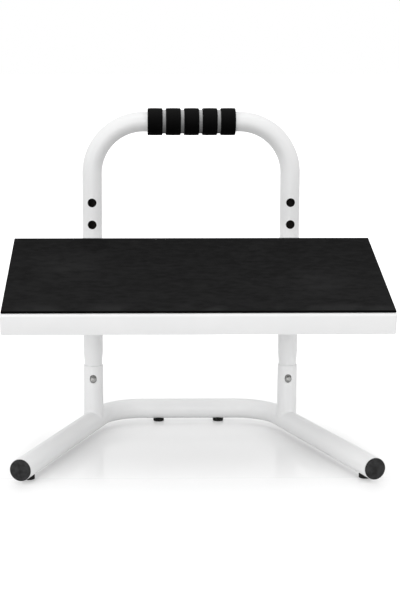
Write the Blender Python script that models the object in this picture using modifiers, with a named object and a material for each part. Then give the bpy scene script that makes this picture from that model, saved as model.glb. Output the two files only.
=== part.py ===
# Under-desk footrest: a sloped steel platform that slides on a tubular stand with a carrying handle.
# Metres, +Z up. The front, where the foot goes, is -Y. The origin is on the floor, under the middle of the
# box that holds the whole object.

import math

import bmesh
import bpy
from mathutils import Matrix, Vector

# Clearance between two faces that touch on the real object
GAP = 0.0003

# Stand: the bent base tube and the two posts welded on it
TUBE_D = 0.0270
BASE_D = 0.0280
BASE_WALL = 0.0015
POST_WALL = 0.0010
POST_SPACING = 0.2700
POST_RISE = 0.0795
LEG_REACH = 0.2545
LEG_SPREAD = math.radians(18.45)
CROSSBAR_BACK = 0.0703
BASE_BEND_R = 0.0630
WELD_R = 0.0024
WELD_OFFSET = 0.0010
WELD_WRAP = 0.98

# Feet and end caps
PAD_HEIGHT = 0.0040
PAD_D = 0.0150
PAD_CHAMFER = 0.0006
PAD_RECESS = 0.0026
REAR_PAD_SPACING = 0.0860
FRONT_PAD_BEHIND_PLUG = 0.0137
SCREW_D = 0.0036
SCREW_HEAD_D = 0.0070
SCREW_HEAD_H = 0.0016
SCREW_HEAD_EDGE = 0.0006
SCREW_LENGTH = 0.0075
CAP_D = 0.0272
CAP_FLANGE = 0.0030
CAP_EDGE = 0.0008
CAP_DOME = 0.0005
CAP_PLUG_LENGTH = 0.0105
CAP_PLUG_WALL = 0.0020

# Handle frame: one bent tube whose narrowed ends stand in the posts
HANDLE_WALL = 0.0012
HANDLE_RISE = 0.3358
HANDLE_BEND_R = 0.0700
INSERT_DEPTH = 0.0480
CONE_LENGTH = 0.0220
HOLE_D = 0.0120
HOLE_PITCH = 0.0300
HOLE_COUNT = 4
TOP_HOLE_DROP = 0.1090

# Foam grip
GRIP_LENGTH = 0.1190
GRIP_CORE_D = 0.0320
GRIP_RING_D = 0.0368
GRIP_RING_WIDTH = 0.0202
GRIP_RING_COUNT = 5
GRIP_EDGE = 0.0012

# Snap buttons that lock the handle frame in the posts
BUTTON_DROP = 0.0188
BUTTON_D = 0.0082
BUTTON_PROUD = 0.0020
BUTTON_DOME = 0.0020
BUTTON_FLANGE = 0.0010
BUTTON_FLANGE_T = 0.0008
BUTTON_SLOT_W = 0.0094
BUTTON_SLOT_H = 0.0116
BUTTON_SLOT_RISE = 0.0010
SPRING_WIDTH = 0.0080
SPRING_T = 0.0008
SPRING_HEIGHT = 0.0360
SPRING_BEND_R = 0.0030
SPRING_LEAN = math.radians(20.0)

# Platform: a folded steel tray with a rubber mat
TILT = math.radians(14.6)
TRAY_WIDTH = 0.4820
TRAY_RUN = 0.2445
TRAY_DEPTH = 0.0270
TRAY_SHEET = 0.0015
TRAY_BEND_R = 0.0030
TRAY_ABOVE_PIN = 0.0408
TRAY_STANDOFF = 0.0005
MAT_T = 0.0025
MAT_SIDE_INSET = 0.0010
MAT_FRONT_INSET = 0.0035
MAT_REAR_INSET = 0.0005
MAT_CORNER_R = 0.0020

# Sleeves and brackets that carry the platform on the handle frame's uprights
SLEEVE_WALL = 0.0017
SLEEVE_LENGTH = 0.0800
SLEEVE_ABOVE_PIN = 0.0240
BRACKET_T = 0.0030
BRACKET_REACH = 0.1500
BRACKET_NOSE = 0.0140
BRACKET_FLANGE = 0.0280
BRACKET_LEAD_IN = 0.0020
BRACKET_LIP = 0.0002
BRACKET_FOOT = 0.0060
BRACKET_BACK = 0.0130
BRACKET_WELD_R = 0.0016
BRACKET_WELD_END = 0.0005
STUD_D = 0.0060
STUD_PLACES = (0.0400, 0.1200)
NUT_ACROSS = 0.0100
NUT_H = 0.0050
WASHER_D = 0.0125
WASHER_T = 0.0012
STUD_END = 0.0020

# Stop pins that the sleeves stand on
PIN_KNOB_D = 0.0200
PIN_KNOB_H = 0.0090
PIN_KNOB_EDGE = 0.0012
PIN_DEPTH = 0.0187
PIN_TIP = 0.0015
PIN_SPIGOT_D = 0.0060
PIN_SPIGOT_H = 0.0060

# Facets: sides of a tube, a small turned piece and a weld bead, steps in a quarter bend and in a dome
TUBE_SIDES = 24
SMALL_SIDES = 16
WELD_SIDES = 8
BEND_STEPS = 8
DOME_STEPS = 4
SHARP_ANGLE = math.radians(35.0)

# Heights, from the floor up
BASE_Z = PAD_HEIGHT + BASE_D / 2
POST_TOP = BASE_Z + POST_RISE
BUTTON_Z = POST_TOP - BUTTON_DROP
HANDLE_TOP = POST_TOP + HANDLE_RISE
TOP_HOLE_Z = HANDLE_TOP - TOP_HOLE_DROP
HOLE_HEIGHTS = [TOP_HOLE_Z - HOLE_PITCH * i for i in range(HOLE_COUNT)]
SEAT_Z = min(HOLE_HEIGHTS)
SLEEVE_TOP = SEAT_Z + SLEEVE_ABOVE_PIN
SLEEVE_BOTTOM = SLEEVE_TOP - SLEEVE_LENGTH

# Radii that follow from the ones above
TUBE_R = TUBE_D / 2
BASE_R = BASE_D / 2
POST_BORE_R = TUBE_R - POST_WALL
INSERT_R = POST_BORE_R - GAP
INSERT_BORE_R = INSERT_R - HANDLE_WALL
SLEEVE_BORE_R = TUBE_R + GAP
SLEEVE_R = SLEEVE_BORE_R + SLEEVE_WALL
PIN_R = HOLE_D / 2 - GAP
BUTTON_R = BUTTON_D / 2

# The tray's own axes: s runs forward down the slope, h runs down, square to the slope.
# Both start at the top of the tray's rear face, and y is counted from the posts' axes.
TRAY_REAR = -(SLEEVE_R + TRAY_STANDOFF + TRAY_DEPTH * math.sin(TILT))
TRAY_TOP = SEAT_Z + TRAY_ABOVE_PIN


def tray_point(s, h):
    """The y, counted from the posts' axes, and the height of a point given in the tray's own axes."""
    y = TRAY_REAR - s * math.cos(TILT) + h * math.sin(TILT)
    z = TRAY_TOP - s * math.sin(TILT) - h * math.cos(TILT)
    return y, z


# How far the object reaches in front of the posts and behind them, which centres it on the origin
TRAY_FRONT = TRAY_BEND_R - tray_point(TRAY_RUN - TRAY_BEND_R, TRAY_BEND_R)[0]
CAP_FRONT = LEG_REACH + (CAP_D / 2 - CAP_EDGE) * math.sin(LEG_SPREAD)
FRONT_REACH = max(TRAY_FRONT, CAP_FRONT)
REAR_REACH = CROSSBAR_BACK + BASE_R
POST_Y = (FRONT_REACH - REAR_REACH) / 2
POST_X = POST_SPACING / 2
FRONT_PAD_INSET = CAP_PLUG_LENGTH + FRONT_PAD_BEHIND_PLUG + SCREW_D / 2
SIDES = (("left", -1), ("right", 1))

WHITE = (0.80, 0.80, 0.80)
BLACK_RUBBER = (0.015, 0.015, 0.015)
BLACK_FOAM = (0.006, 0.006, 0.006)
GREY_FOAM = (0.22, 0.22, 0.22)
CHARCOAL = (0.035, 0.035, 0.035)
STEEL = (0.55, 0.55, 0.54)

for old in list(bpy.data.objects):
    bpy.data.objects.remove(old)
PARTS = bpy.data.collections.new("footrest")
CUTTERS = bpy.data.collections.new("cutters")
for group in (PARTS, CUTTERS):
    bpy.context.scene.collection.children.link(group)


# Helpers for making objects

def finish(obj, colour, roughness, metallic=0.0):
    """Gives an object its own Principled material."""
    material = bpy.data.materials.new(obj.name)
    material.use_nodes = True
    shader = material.node_tree.nodes["Principled BSDF"]
    shader.inputs["Base Color"].default_value = (*colour, 1.0)
    shader.inputs["Roughness"].default_value = roughness
    shader.inputs["Metallic"].default_value = metallic
    obj.data.materials.clear()
    obj.data.materials.append(material)
    return obj


def add(name, mesh, collection=PARTS, at=(0, 0, 0), turn=None):
    """A new object from a mesh, at a place and with a rotation matrix."""
    mesh.name = name
    mesh.shade_smooth()
    mesh.set_sharp_from_angle(angle=SHARP_ANGLE)
    obj = bpy.data.objects.new(name, mesh)
    collection.objects.link(obj)
    obj.matrix_world = Matrix.Translation(at) @ (turn or Matrix())
    if collection is CUTTERS:
        obj.hide_render = True
        obj.display_type = "WIRE"
    return obj


def mesh_from(bm):
    """A mesh from a bmesh, which is freed."""
    mesh = bpy.data.meshes.new("mesh")
    bm.to_mesh(mesh)
    bm.free()
    return mesh


def evaluated_mesh(obj):
    """The mesh of an object with its modifiers or bevel applied, its loose seams welded."""
    bpy.context.view_layer.update()
    graph = bpy.context.evaluated_depsgraph_get()
    mesh = bpy.data.meshes.new_from_object(obj.evaluated_get(graph))
    bm = bmesh.new()
    bm.from_mesh(mesh)
    bmesh.ops.remove_doubles(bm, verts=bm.verts, dist=0.00001)
    bm.to_mesh(mesh)
    bm.free()
    return mesh


def swept(points, radius, radii=None, closed=False, caps=True, sides=TUBE_SIDES):
    """The mesh of a round bar along a list of points. radii gives each point its own radius."""
    curve = bpy.data.curves.new("path", "CURVE")
    curve.dimensions = "3D"
    curve.bevel_depth = radius
    curve.bevel_resolution = sides // 2 - 2
    curve.use_fill_caps = caps and not closed
    spline = curve.splines.new("POLY")
    spline.points.add(len(points) - 1)
    spline.use_cyclic_u = closed
    for i, point in enumerate(points):
        spline.points[i].co = (*point, 1.0)
        spline.points[i].radius = radii[i] / radius if radii else 1.0
    bar = bpy.data.objects.new("path", curve)
    CUTTERS.objects.link(bar)
    mesh = evaluated_mesh(bar)
    bpy.data.objects.remove(bar)
    return mesh


def turned(profile, steps, closed=False):
    """The mesh of a profile of (radius, height) points, turned about Z. A closed profile makes a ring."""
    mesh = bpy.data.meshes.new("profile")
    edges = [(i, i + 1) for i in range(len(profile) - 1)]
    if closed:
        edges.append((len(profile) - 1, 0))
    mesh.from_pydata([(r, 0, z) for r, z in profile], edges, [])
    blank = bpy.data.objects.new("profile", mesh)
    CUTTERS.objects.link(blank)
    screw = blank.modifiers.new("turn", "SCREW")
    screw.axis = "Z"
    screw.angle = math.tau
    screw.steps = screw.render_steps = steps
    screw.use_merge_vertices = True
    screw.merge_threshold = 0.00001
    result = evaluated_mesh(blank)
    bpy.data.objects.remove(blank)
    return result


def plate(outline, thickness):
    """The mesh of a flat outline of (x, y) points, its thickness centred on z = 0."""
    curve = bpy.data.curves.new("outline", "CURVE")
    curve.dimensions = "2D"
    curve.fill_mode = "BOTH"
    curve.extrude = thickness / 2
    spline = curve.splines.new("POLY")
    spline.points.add(len(outline) - 1)
    spline.use_cyclic_u = True
    for i, (x, y) in enumerate(outline):
        spline.points[i].co = (x, y, 0, 1.0)
    flat = bpy.data.objects.new("outline", curve)
    CUTTERS.objects.link(flat)
    mesh = evaluated_mesh(flat)
    bpy.data.objects.remove(flat)
    return mesh


def box(low, high):
    """The mesh of a box between two corners."""
    low, high = Vector(low), Vector(high)
    bm = bmesh.new()
    place = Matrix.Translation((low + high) / 2) @ Matrix.Diagonal((*(high - low), 1))
    bmesh.ops.create_cube(bm, size=1.0, matrix=place)
    return mesh_from(bm)


def rods(places, radius, length, turn, sides=SMALL_SIDES, flatten=1.0):
    """The mesh of several cylinders. turn sets their direction, and flatten scales their width along X."""
    bm = bmesh.new()
    for place in places:
        matrix = Matrix.Translation(place) @ Matrix.Diagonal((flatten, 1, 1, 1)) @ turn
        bmesh.ops.create_cone(
            bm, cap_ends=True, segments=sides, radius1=radius, radius2=radius, depth=length, matrix=matrix
        )
    return mesh_from(bm)


def boolean(obj, cutter, operation="DIFFERENCE"):
    """Cuts an object with another, or joins another to it."""
    modifier = obj.modifiers.new(cutter.name, "BOOLEAN")
    modifier.operation = operation
    modifier.object = cutter
    return obj


def shell(obj, thickness):
    """Gives an open surface a wall on its inner side."""
    wall = obj.modifiers.new("wall", "SOLIDIFY")
    wall.thickness = thickness
    wall.offset = -1.0
    wall.use_even_offset = True
    return obj


def arc(centre, start, end, radius, steps):
    """Points on an arc in a plane, with both ends, as (u, v) pairs."""
    angles = [start + (end - start) * i / steps for i in range(steps + 1)]
    return [(centre[0] + radius * math.cos(a), centre[1] + radius * math.sin(a)) for a in angles]


TURN_Y = Matrix.Rotation(math.pi / 2, 4, "X")
TURN_X = Matrix.Rotation(math.pi / 2, 4, "Y")


# Base tube

def base_path():
    """The base tube's axis, from the left leg's end round the crossbar to the right leg's end."""
    bend = math.pi / 2 - LEG_SPREAD
    corner_x = POST_X - CROSSBAR_BACK * math.tan(LEG_SPREAD)
    centre = (corner_x - BASE_BEND_R * math.tan(bend / 2), CROSSBAR_BACK - BASE_BEND_R)
    steps = max(2, round(BEND_STEPS * bend / (math.pi / 2)))
    turn = arc(centre, math.pi / 2, math.pi / 2 - bend, BASE_BEND_R, steps)
    end = leg_point(0.0)
    right = turn + [(end.x, end.y - POST_Y)]
    half = [(x, POST_Y + y, BASE_Z) for x, y in right]
    return [(-x, y, z) for x, y, z in reversed(half)] + half


def leg_point(back):
    """A point on the right leg's axis, at a distance back from the leg's cut end."""
    face = CAP_FLANGE + GAP
    along = Vector((math.sin(LEG_SPREAD), -math.cos(LEG_SPREAD), 0))
    cap_face = Vector((POST_X + LEG_REACH * math.tan(LEG_SPREAD), POST_Y - LEG_REACH, BASE_Z))
    return cap_face - along * (face + back)


def mirrored(point, side):
    """A point of the right half, or its mirror image on the left."""
    return Vector((side * point.x, point.y, point.z))


PAD_PLACES = {}
for side_name, side in SIDES:
    front = mirrored(leg_point(FRONT_PAD_INSET), side)
    PAD_PLACES["front_" + side_name] = Vector((front.x, front.y, 0))
    PAD_PLACES["rear_" + side_name] = Vector((side * REAR_PAD_SPACING / 2, POST_Y + CROSSBAR_BACK, 0))

screw_holes = add(
    "screw_holes",
    rods([p + Vector((0, 0, PAD_HEIGHT)) for p in PAD_PLACES.values()], SCREW_D / 2 + GAP, BASE_R, Matrix()),
    CUTTERS,
)
base_tube = add("base_tube", swept(base_path(), BASE_R, caps=False))
shell(base_tube, BASE_WALL)
boolean(base_tube, screw_holes)
finish(base_tube, WHITE, 0.35)

# A solid bar a little larger than the base tube, which shapes what sits on it
base_seat = add("base_seat", swept(base_path(), BASE_R + GAP), CUTTERS)


# Posts, with a fish-mouthed foot, an oval hole for the button and a weld round the foot

def weld_path():
    """The line where the right post meets the base tube, moved out a little from both."""
    across = Vector((math.cos(LEG_SPREAD), math.sin(LEG_SPREAD)))
    ring = TUBE_R + WELD_OFFSET
    points = []
    for i in range(TUBE_SIDES):
        angle = math.tau * i / TUBE_SIDES
        offset = Vector((ring * math.cos(angle), ring * math.sin(angle)))
        sideways = min(abs(offset.dot(across)), BASE_R * WELD_WRAP)
        rise = math.sqrt(BASE_R**2 - sideways**2) + WELD_OFFSET
        points.append(Vector((POST_X + offset.x, POST_Y + offset.y, BASE_Z + rise)))
    return points


button_slots = add(
    "button_slots",
    rods(
        [(side * POST_X, POST_Y - TUBE_R, BUTTON_Z + BUTTON_SLOT_RISE) for _, side in SIDES],
        BUTTON_SLOT_H / 2,
        TUBE_R,
        TURN_Y,
        TUBE_SIDES,
        flatten=BUTTON_SLOT_W / BUTTON_SLOT_H,
    ),
    CUTTERS,
)

for side_name, side in SIDES:
    foot = Vector((side * POST_X, POST_Y, BASE_Z))
    ring = [(TUBE_R, POST_RISE), (TUBE_R, 0), (POST_BORE_R, 0), (POST_BORE_R, POST_RISE)]
    post = add(side_name + "_post", turned(ring, TUBE_SIDES, closed=True), at=foot)
    boolean(post, base_seat)
    boolean(post, button_slots)
    finish(post, WHITE, 0.35)

    post_core = [(0, POST_RISE), (TUBE_R + GAP, POST_RISE), (TUBE_R + GAP, 0), (0, 0)]
    post_seat = add(side_name + "_post_seat", turned(post_core, TUBE_SIDES), CUTTERS, at=foot)
    weld_line = [mirrored(point, side) for point in weld_path()]
    weld = add(side_name + "_post_weld", swept(weld_line, WELD_R, closed=True, sides=WELD_SIDES))
    boolean(weld, base_seat)
    boolean(weld, post_seat)
    finish(weld, WHITE, 0.40)


# End caps, plugged into the legs

def cap_profile():
    """A domed flange with a hollow plug behind it, its face at height 0."""
    rim = CAP_D / 2
    plug = BASE_R - BASE_WALL - GAP
    end = -(CAP_FLANGE + CAP_PLUG_LENGTH)
    shares = [i / DOME_STEPS for i in range(DOME_STEPS + 1)]
    dome = [((rim - CAP_EDGE) * share, -CAP_DOME * share**2) for share in shares]
    return dome + [
        (rim, -CAP_DOME - CAP_EDGE),
        (rim, -CAP_FLANGE),
        (plug, -CAP_FLANGE),
        (plug, end),
        (plug - CAP_PLUG_WALL, end),
        (plug - CAP_PLUG_WALL, -CAP_FLANGE),
        (0, -CAP_FLANGE),
    ]


for side_name, side in SIDES:
    outward = Matrix.Rotation(side * LEG_SPREAD, 4, "Z") @ TURN_Y
    face = mirrored(leg_point(-(CAP_FLANGE + GAP)), side)
    cap = add(side_name + "_end_cap", turned(cap_profile(), TUBE_SIDES), at=face, turn=outward)
    finish(cap, CHARCOAL, 0.55)


# Rubber pads, each held by a screw into the tube

def pad_profile():
    """A pad with a recess for the screw's head. It runs up to the tube's axis, for the tube to cut it."""
    rim = PAD_D / 2
    top = BASE_Z
    bore = SCREW_D / 2 + GAP
    recess = SCREW_HEAD_D / 2 + GAP
    return [
        (rim, top),
        (rim, PAD_CHAMFER),
        (rim - PAD_CHAMFER, 0),
        (recess, 0),
        (recess, PAD_RECESS),
        (bore, PAD_RECESS),
        (bore, top),
    ]


for pad_name, place in PAD_PLACES.items():
    pad = add(pad_name + "_pad", turned(pad_profile(), SMALL_SIDES, closed=True), at=place)
    boolean(pad, base_seat)
    finish(pad, BLACK_RUBBER, 0.75)

head_top = PAD_RECESS - GAP
screw_profile = [
    (0, head_top + SCREW_LENGTH),
    (SCREW_D / 2, head_top + SCREW_LENGTH - SCREW_D / 2),
    (SCREW_D / 2, head_top),
    (SCREW_HEAD_D / 2, head_top),
    (SCREW_HEAD_D / 2, head_top - SCREW_HEAD_H + SCREW_HEAD_EDGE),
    (SCREW_HEAD_D / 2 - SCREW_HEAD_EDGE, head_top - SCREW_HEAD_H),
    (0, head_top - SCREW_HEAD_H),
]
for pad_name, place in PAD_PLACES.items():
    screw = add(pad_name + "_pad_screw", turned(screw_profile, SMALL_SIDES // 2), at=place)
    finish(screw, STEEL, 0.35, 1.0)


# Handle frame

def handle_path():
    """The handle tube's axis from the foot of the left leg over the top, with the radius at each point."""
    shoulder = POST_TOP - GAP
    bottom = POST_TOP - INSERT_DEPTH
    centre = (POST_X - HANDLE_BEND_R, HANDLE_TOP - HANDLE_BEND_R)
    half = [((POST_X, bottom), INSERT_R), ((POST_X, shoulder), INSERT_R)]
    half.append(((POST_X, POST_TOP + CONE_LENGTH), TUBE_R))
    half += [(p, TUBE_R) for p in arc(centre, 0, math.pi / 2, HANDLE_BEND_R, BEND_STEPS)]
    right = [((x, POST_Y, z), r) for (x, z), r in half]
    left = [((-x, y, z), r) for (x, y, z), r in right]
    both = left + right[::-1]
    return [p for p, _ in both], [r for _, r in both]


points, radii = handle_path()
handle_frame = add("handle_frame", swept(points, TUBE_R, radii, caps=False))
shell(handle_frame, HANDLE_WALL)
hole_places = [(side * POST_X, POST_Y - TUBE_R, z) for _, side in SIDES for z in HOLE_HEIGHTS]
pin_holes = add("pin_holes", rods(hole_places, HOLE_D / 2, TUBE_R, TURN_Y), CUTTERS)
boolean(handle_frame, pin_holes)
# One cutter makes the button's oval hole in the post and in the tube end behind it
boolean(handle_frame, button_slots)
finish(handle_frame, WHITE, 0.35)


# Foam grip: a grey core on the tube and black rings round it

def ring_profile(outer, bore, length, edge):
    """A ring with rounded outer corners, its middle at height 0."""
    half = length / 2
    corner = [(outer - edge + edge * math.cos(a), half - edge + edge * math.sin(a)) for a in
              (math.pi / 2, math.pi / 4, 0)]
    return corner + [(r, -z) for r, z in reversed(corner)] + [(bore, -half), (bore, half)]


grip_at = Vector((0, POST_Y, HANDLE_TOP))
core = turned(
    ring_profile(GRIP_CORE_D / 2, TUBE_R + GAP, GRIP_LENGTH, GRIP_EDGE), TUBE_SIDES, closed=True
)
finish(add("grip_core", core, at=grip_at, turn=TURN_X), GREY_FOAM, 0.85)
ring_step = (GRIP_LENGTH - GRIP_RING_WIDTH) / (GRIP_RING_COUNT - 1)
for i in range(GRIP_RING_COUNT):
    ring = turned(
        ring_profile(GRIP_RING_D / 2, GRIP_CORE_D / 2 + GAP, GRIP_RING_WIDTH, GRIP_EDGE),
        TUBE_SIDES,
        closed=True,
    )
    along = Vector(((i - (GRIP_RING_COUNT - 1) / 2) * ring_step, 0, 0))
    finish(add(f"grip_ring_{i + 1}", ring, at=grip_at + along, turn=TURN_X), BLACK_FOAM, 0.90)


# Snap buttons and the V springs behind them, inside the handle frame's ends

BUTTON_FLANGE_R = BUTTON_R + BUTTON_FLANGE
BUTTON_BACK = math.sqrt(INSERT_BORE_R**2 - BUTTON_FLANGE_R**2) - GAP


def button_profile():
    """A domed button with a flange behind the tube's wall. Height 0 is the post's axis."""
    tip = TUBE_R + BUTTON_PROUD
    angles = [math.pi / 2 * i / DOME_STEPS for i in range(DOME_STEPS + 1)]
    dome = [(BUTTON_R * math.sin(a), tip - BUTTON_DOME * (1 - math.cos(a))) for a in angles]
    return dome + [
        (BUTTON_R, BUTTON_BACK),
        (BUTTON_FLANGE_R, BUTTON_BACK),
        (BUTTON_FLANGE_R, BUTTON_BACK - BUTTON_FLANGE_T),
        (0, BUTTON_BACK - BUTTON_FLANGE_T),
    ]


def spring_line():
    """The V spring's bent strip in (y, z): behind the button, over the bend, to the tube's rear wall."""
    front = -(BUTTON_BACK - BUTTON_FLANGE_T - GAP - SPRING_T / 2)
    rear = math.sqrt(INSERT_BORE_R**2 - (SPRING_WIDTH / 2) ** 2) - GAP - SPRING_T / 2
    bend_z = BUTTON_Z + SPRING_HEIGHT - BUTTON_FLANGE_R
    middle = (front + SPRING_BEND_R, bend_z)
    over = arc(middle, math.pi, SPRING_LEAN, SPRING_BEND_R, BEND_STEPS)
    return [(front, BUTTON_Z - BUTTON_FLANGE_R), (front, bend_z)] + over[1:] + [(rear, BUTTON_Z)]


def strip(line, width, thickness):
    """The mesh of a flat strip along a line of (x, y) points, its width centred on z = 0."""
    curve = bpy.data.curves.new("strip", "CURVE")
    curve.dimensions = "2D"
    curve.fill_mode = "NONE"
    curve.extrude = width / 2
    spline = curve.splines.new("POLY")
    spline.points.add(len(line) - 1)
    for i, (x, y) in enumerate(line):
        spline.points[i].co = (x, y, 0, 1.0)
    flat = bpy.data.objects.new("strip", curve)
    CUTTERS.objects.link(flat)
    bare = evaluated_mesh(flat)
    bpy.data.objects.remove(flat)
    blank = bpy.data.objects.new("strip", bare)
    CUTTERS.objects.link(blank)
    shell(blank, thickness).modifiers["wall"].offset = 0.0
    mesh = evaluated_mesh(blank)
    bpy.data.objects.remove(blank)
    return mesh


# Turns a drawing in (x, y) into one in (y, z), with its thickness along X
UPRIGHT = Matrix(((0, 0, 1, 0), (1, 0, 0, 0), (0, 1, 0, 0), (0, 0, 0, 1)))

for side_name, side in SIDES:
    axis_at = Vector((side * POST_X, POST_Y, BUTTON_Z))
    button = add(side_name + "_button", turned(button_profile(), SMALL_SIDES), at=axis_at, turn=TURN_Y)
    finish(button, STEEL, 0.30, 1.0)
    post_at = Vector((side * POST_X, POST_Y, 0))
    spring = strip(spring_line(), SPRING_WIDTH, SPRING_T)
    finish(add(side_name + "_button_spring", spring, at=post_at, turn=UPRIGHT), STEEL, 0.35, 1.0)


# Platform. Its pieces hang on an empty that slides up and down with it.

platform = bpy.data.objects.new("platform_slide", None)
PARTS.objects.link(platform)
platform.location = (0, POST_Y, SEAT_Z)
bpy.context.view_layer.update()


def on_platform(obj):
    """Hangs an object on the platform's empty where it stands."""
    obj.parent = platform
    obj.matrix_parent_inverse = platform.matrix_world.inverted()
    return obj


# Places a drawing whose x, y, z are the tray's across, up the slope, and square to the slope
TRAY_AXES = Matrix.Translation((0, POST_Y + TRAY_REAR, TRAY_TOP)) @ Matrix.Rotation(TILT, 4, "X")


def tray_mesh():
    """The tray as an open surface: a top and four skirts, with rounded folds and corners."""
    bm = bmesh.new()
    size = Matrix.Diagonal((TRAY_WIDTH, TRAY_RUN, TRAY_DEPTH, 1))
    middle = Matrix.Translation((0, -TRAY_RUN / 2, -TRAY_DEPTH / 2))
    bmesh.ops.create_cube(bm, size=1.0, matrix=middle @ size)
    under = [f for f in bm.faces if f.normal.z < -0.5]
    bmesh.ops.delete(bm, geom=under, context="FACES_ONLY")
    folds = [e for e in bm.edges if not e.is_boundary]
    bmesh.ops.bevel(bm, geom=folds, offset=TRAY_BEND_R, segments=3, profile=0.5, affect="EDGES")
    return mesh_from(bm)


tray = add("platform_tray", tray_mesh())
tray.matrix_world = TRAY_AXES
shell(tray, TRAY_SHEET)
finish(on_platform(tray), WHITE, 0.35)


def rounded_rectangle(low, high, radius, steps=3):
    """A rectangle's outline with round corners."""
    (x0, y0), (x1, y1) = low, high
    centres = [(x1 - radius, y1 - radius), (x0 + radius, y1 - radius), (x0 + radius, y0 + radius),
               (x1 - radius, y0 + radius)]
    points = []
    for quarter, centre in enumerate(centres):
        start = quarter * math.pi / 2
        points += arc(centre, start, start + math.pi / 2, radius, steps)
    return points


mat_half = TRAY_WIDTH / 2 - MAT_SIDE_INSET
mat_outline = rounded_rectangle(
    (-mat_half, -(TRAY_RUN - MAT_FRONT_INSET)), (mat_half, -MAT_REAR_INSET), MAT_CORNER_R
)
mat = add("rubber_mat", plate(mat_outline, MAT_T))
mat.matrix_world = TRAY_AXES @ Matrix.Translation((0, 0, GAP + MAT_T / 2))
finish(on_platform(mat), BLACK_RUBBER, 0.65)

# Sleeves: short tubes on the uprights, each with a slot that drops over its stop pin
slot_half = PIN_R + GAP
slot_foot = [(-slot_half, -SLEEVE_LENGTH), (slot_half, -SLEEVE_LENGTH)]
slot_outline = arc((0, 0), 0, math.pi, slot_half, BEND_STEPS) + slot_foot

WEB_INSIDE = SLEEVE_R + GAP
FLANGE_TOP = TRAY_SHEET + GAP
WEB_START = TRAY_SHEET + BRACKET_LEAD_IN


def web_outline():
    """The bracket's web in (y, z): behind the sleeve, under the tray's rear skirt, forward under the tray."""
    under_skirt = tray_point(WEB_START, TRAY_DEPTH + BRACKET_LEAD_IN)
    foot_z = SLEEVE_BOTTOM + BRACKET_FOOT
    return [
        (BRACKET_BACK, foot_z),
        (BRACKET_BACK, under_skirt[1]),
        under_skirt,
        tray_point(WEB_START, FLANGE_TOP + BRACKET_LIP),
        tray_point(BRACKET_REACH, FLANGE_TOP + BRACKET_LIP),
        tray_point(BRACKET_REACH, BRACKET_NOSE),
        (-SLEEVE_R, foot_z),
    ]


# The studs' places in the tray's own axes, at the underside of its top
STUD_X = POST_X - WEB_INSIDE - BRACKET_T - BRACKET_FLANGE / 2
STUDS = {
    f"{side_name}_{end}": Vector((side * STUD_X, -s, -FLANGE_TOP))
    for side_name, side in SIDES
    for end, s in zip(("rear", "front"), STUD_PLACES)
}
stud_length = BRACKET_T + WASHER_T + NUT_H + 3 * GAP + STUD_END
stud_holes = add("stud_holes", rods(STUDS.values(), STUD_D / 2 + GAP, 2 * stud_length, Matrix()), CUTTERS)
stud_holes.matrix_world = TRAY_AXES

for side_name, side in SIDES:
    post_at = Vector((side * POST_X, POST_Y, 0))
    wall = [(SLEEVE_R, SLEEVE_TOP), (SLEEVE_R, SLEEVE_BOTTOM), (SLEEVE_BORE_R, SLEEVE_BOTTOM),
            (SLEEVE_BORE_R, SLEEVE_TOP)]
    sleeve = add(side_name + "_sleeve", turned(wall, TUBE_SIDES, closed=True), at=post_at)
    slot_at = Vector((side * POST_X, POST_Y - SLEEVE_R, SEAT_Z))
    slot = add(side_name + "_slot", plate(slot_outline, SLEEVE_R), CUTTERS, at=slot_at, turn=TURN_Y)
    boolean(sleeve, slot)
    finish(on_platform(sleeve), WHITE, 0.40)

    web_x = side * (POST_X - WEB_INSIDE - BRACKET_T / 2)
    bracket = add(
        side_name + "_bracket",
        plate(web_outline(), BRACKET_T),
        at=Vector((web_x, POST_Y, 0)),
        turn=UPRIGHT,
    )
    flange_x = sorted((web_x, web_x - side * (BRACKET_T / 2 + BRACKET_FLANGE)))
    flange = add(
        side_name + "_flange",
        box(
            (flange_x[0], BRACKET_LEAD_IN / 2 - BRACKET_REACH, -FLANGE_TOP - BRACKET_T),
            (flange_x[1], -WEB_START - BRACKET_LEAD_IN / 2, -FLANGE_TOP),
        ),
        CUTTERS,
    )
    flange.matrix_world = TRAY_AXES
    boolean(bracket, flange, "UNION")
    boolean(bracket, stud_holes)
    finish(on_platform(bracket), WHITE, 0.40)


# Weld beads, in the grooves between each sleeve's round side and its bracket's web
bead_x = WEB_INSIDE - BRACKET_WELD_R - GAP
bead_y = math.sqrt((SLEEVE_R + BRACKET_WELD_R + GAP) ** 2 - bead_x**2)
bead_top = tray_point(WEB_START, TRAY_DEPTH + BRACKET_LEAD_IN)[1]
bead_length = bead_top - SLEEVE_BOTTOM - BRACKET_FOOT - 2 * BRACKET_WELD_R
bead_half = [
    (0, bead_length / 2),
    (BRACKET_WELD_R - BRACKET_WELD_END, bead_length / 2),
    (BRACKET_WELD_R, bead_length / 2 - BRACKET_WELD_END),
]
bead_profile = bead_half + [(r, -z) for r, z in reversed(bead_half)]
bead_z = SLEEVE_BOTTOM + BRACKET_FOOT + BRACKET_WELD_R + bead_length / 2
for side_name, side in SIDES:
    for end, back in (("front", -1), ("rear", 1)):
        bead_at = (side * (POST_X - bead_x), POST_Y + back * bead_y, bead_z)
        bead = add(f"{side_name}_bracket_weld_{end}", turned(bead_profile, SMALL_SIDES // 2), at=bead_at)
        finish(on_platform(bead), WHITE, 0.45)


# Studs on the underside of the tray, with a washer and a nut on each

def under_tray(name, profile, sides, roughness, closed=True):
    """Makes a fastener at each stud's place, from a profile whose height 0 is the bracket's flange."""
    for place_name, place in STUDS.items():
        piece = add(f"{place_name}_{name}", turned(profile, sides, closed))
        piece.matrix_world = TRAY_AXES @ Matrix.Translation(place)
        finish(on_platform(piece), STEEL, roughness, 1.0)


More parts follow.
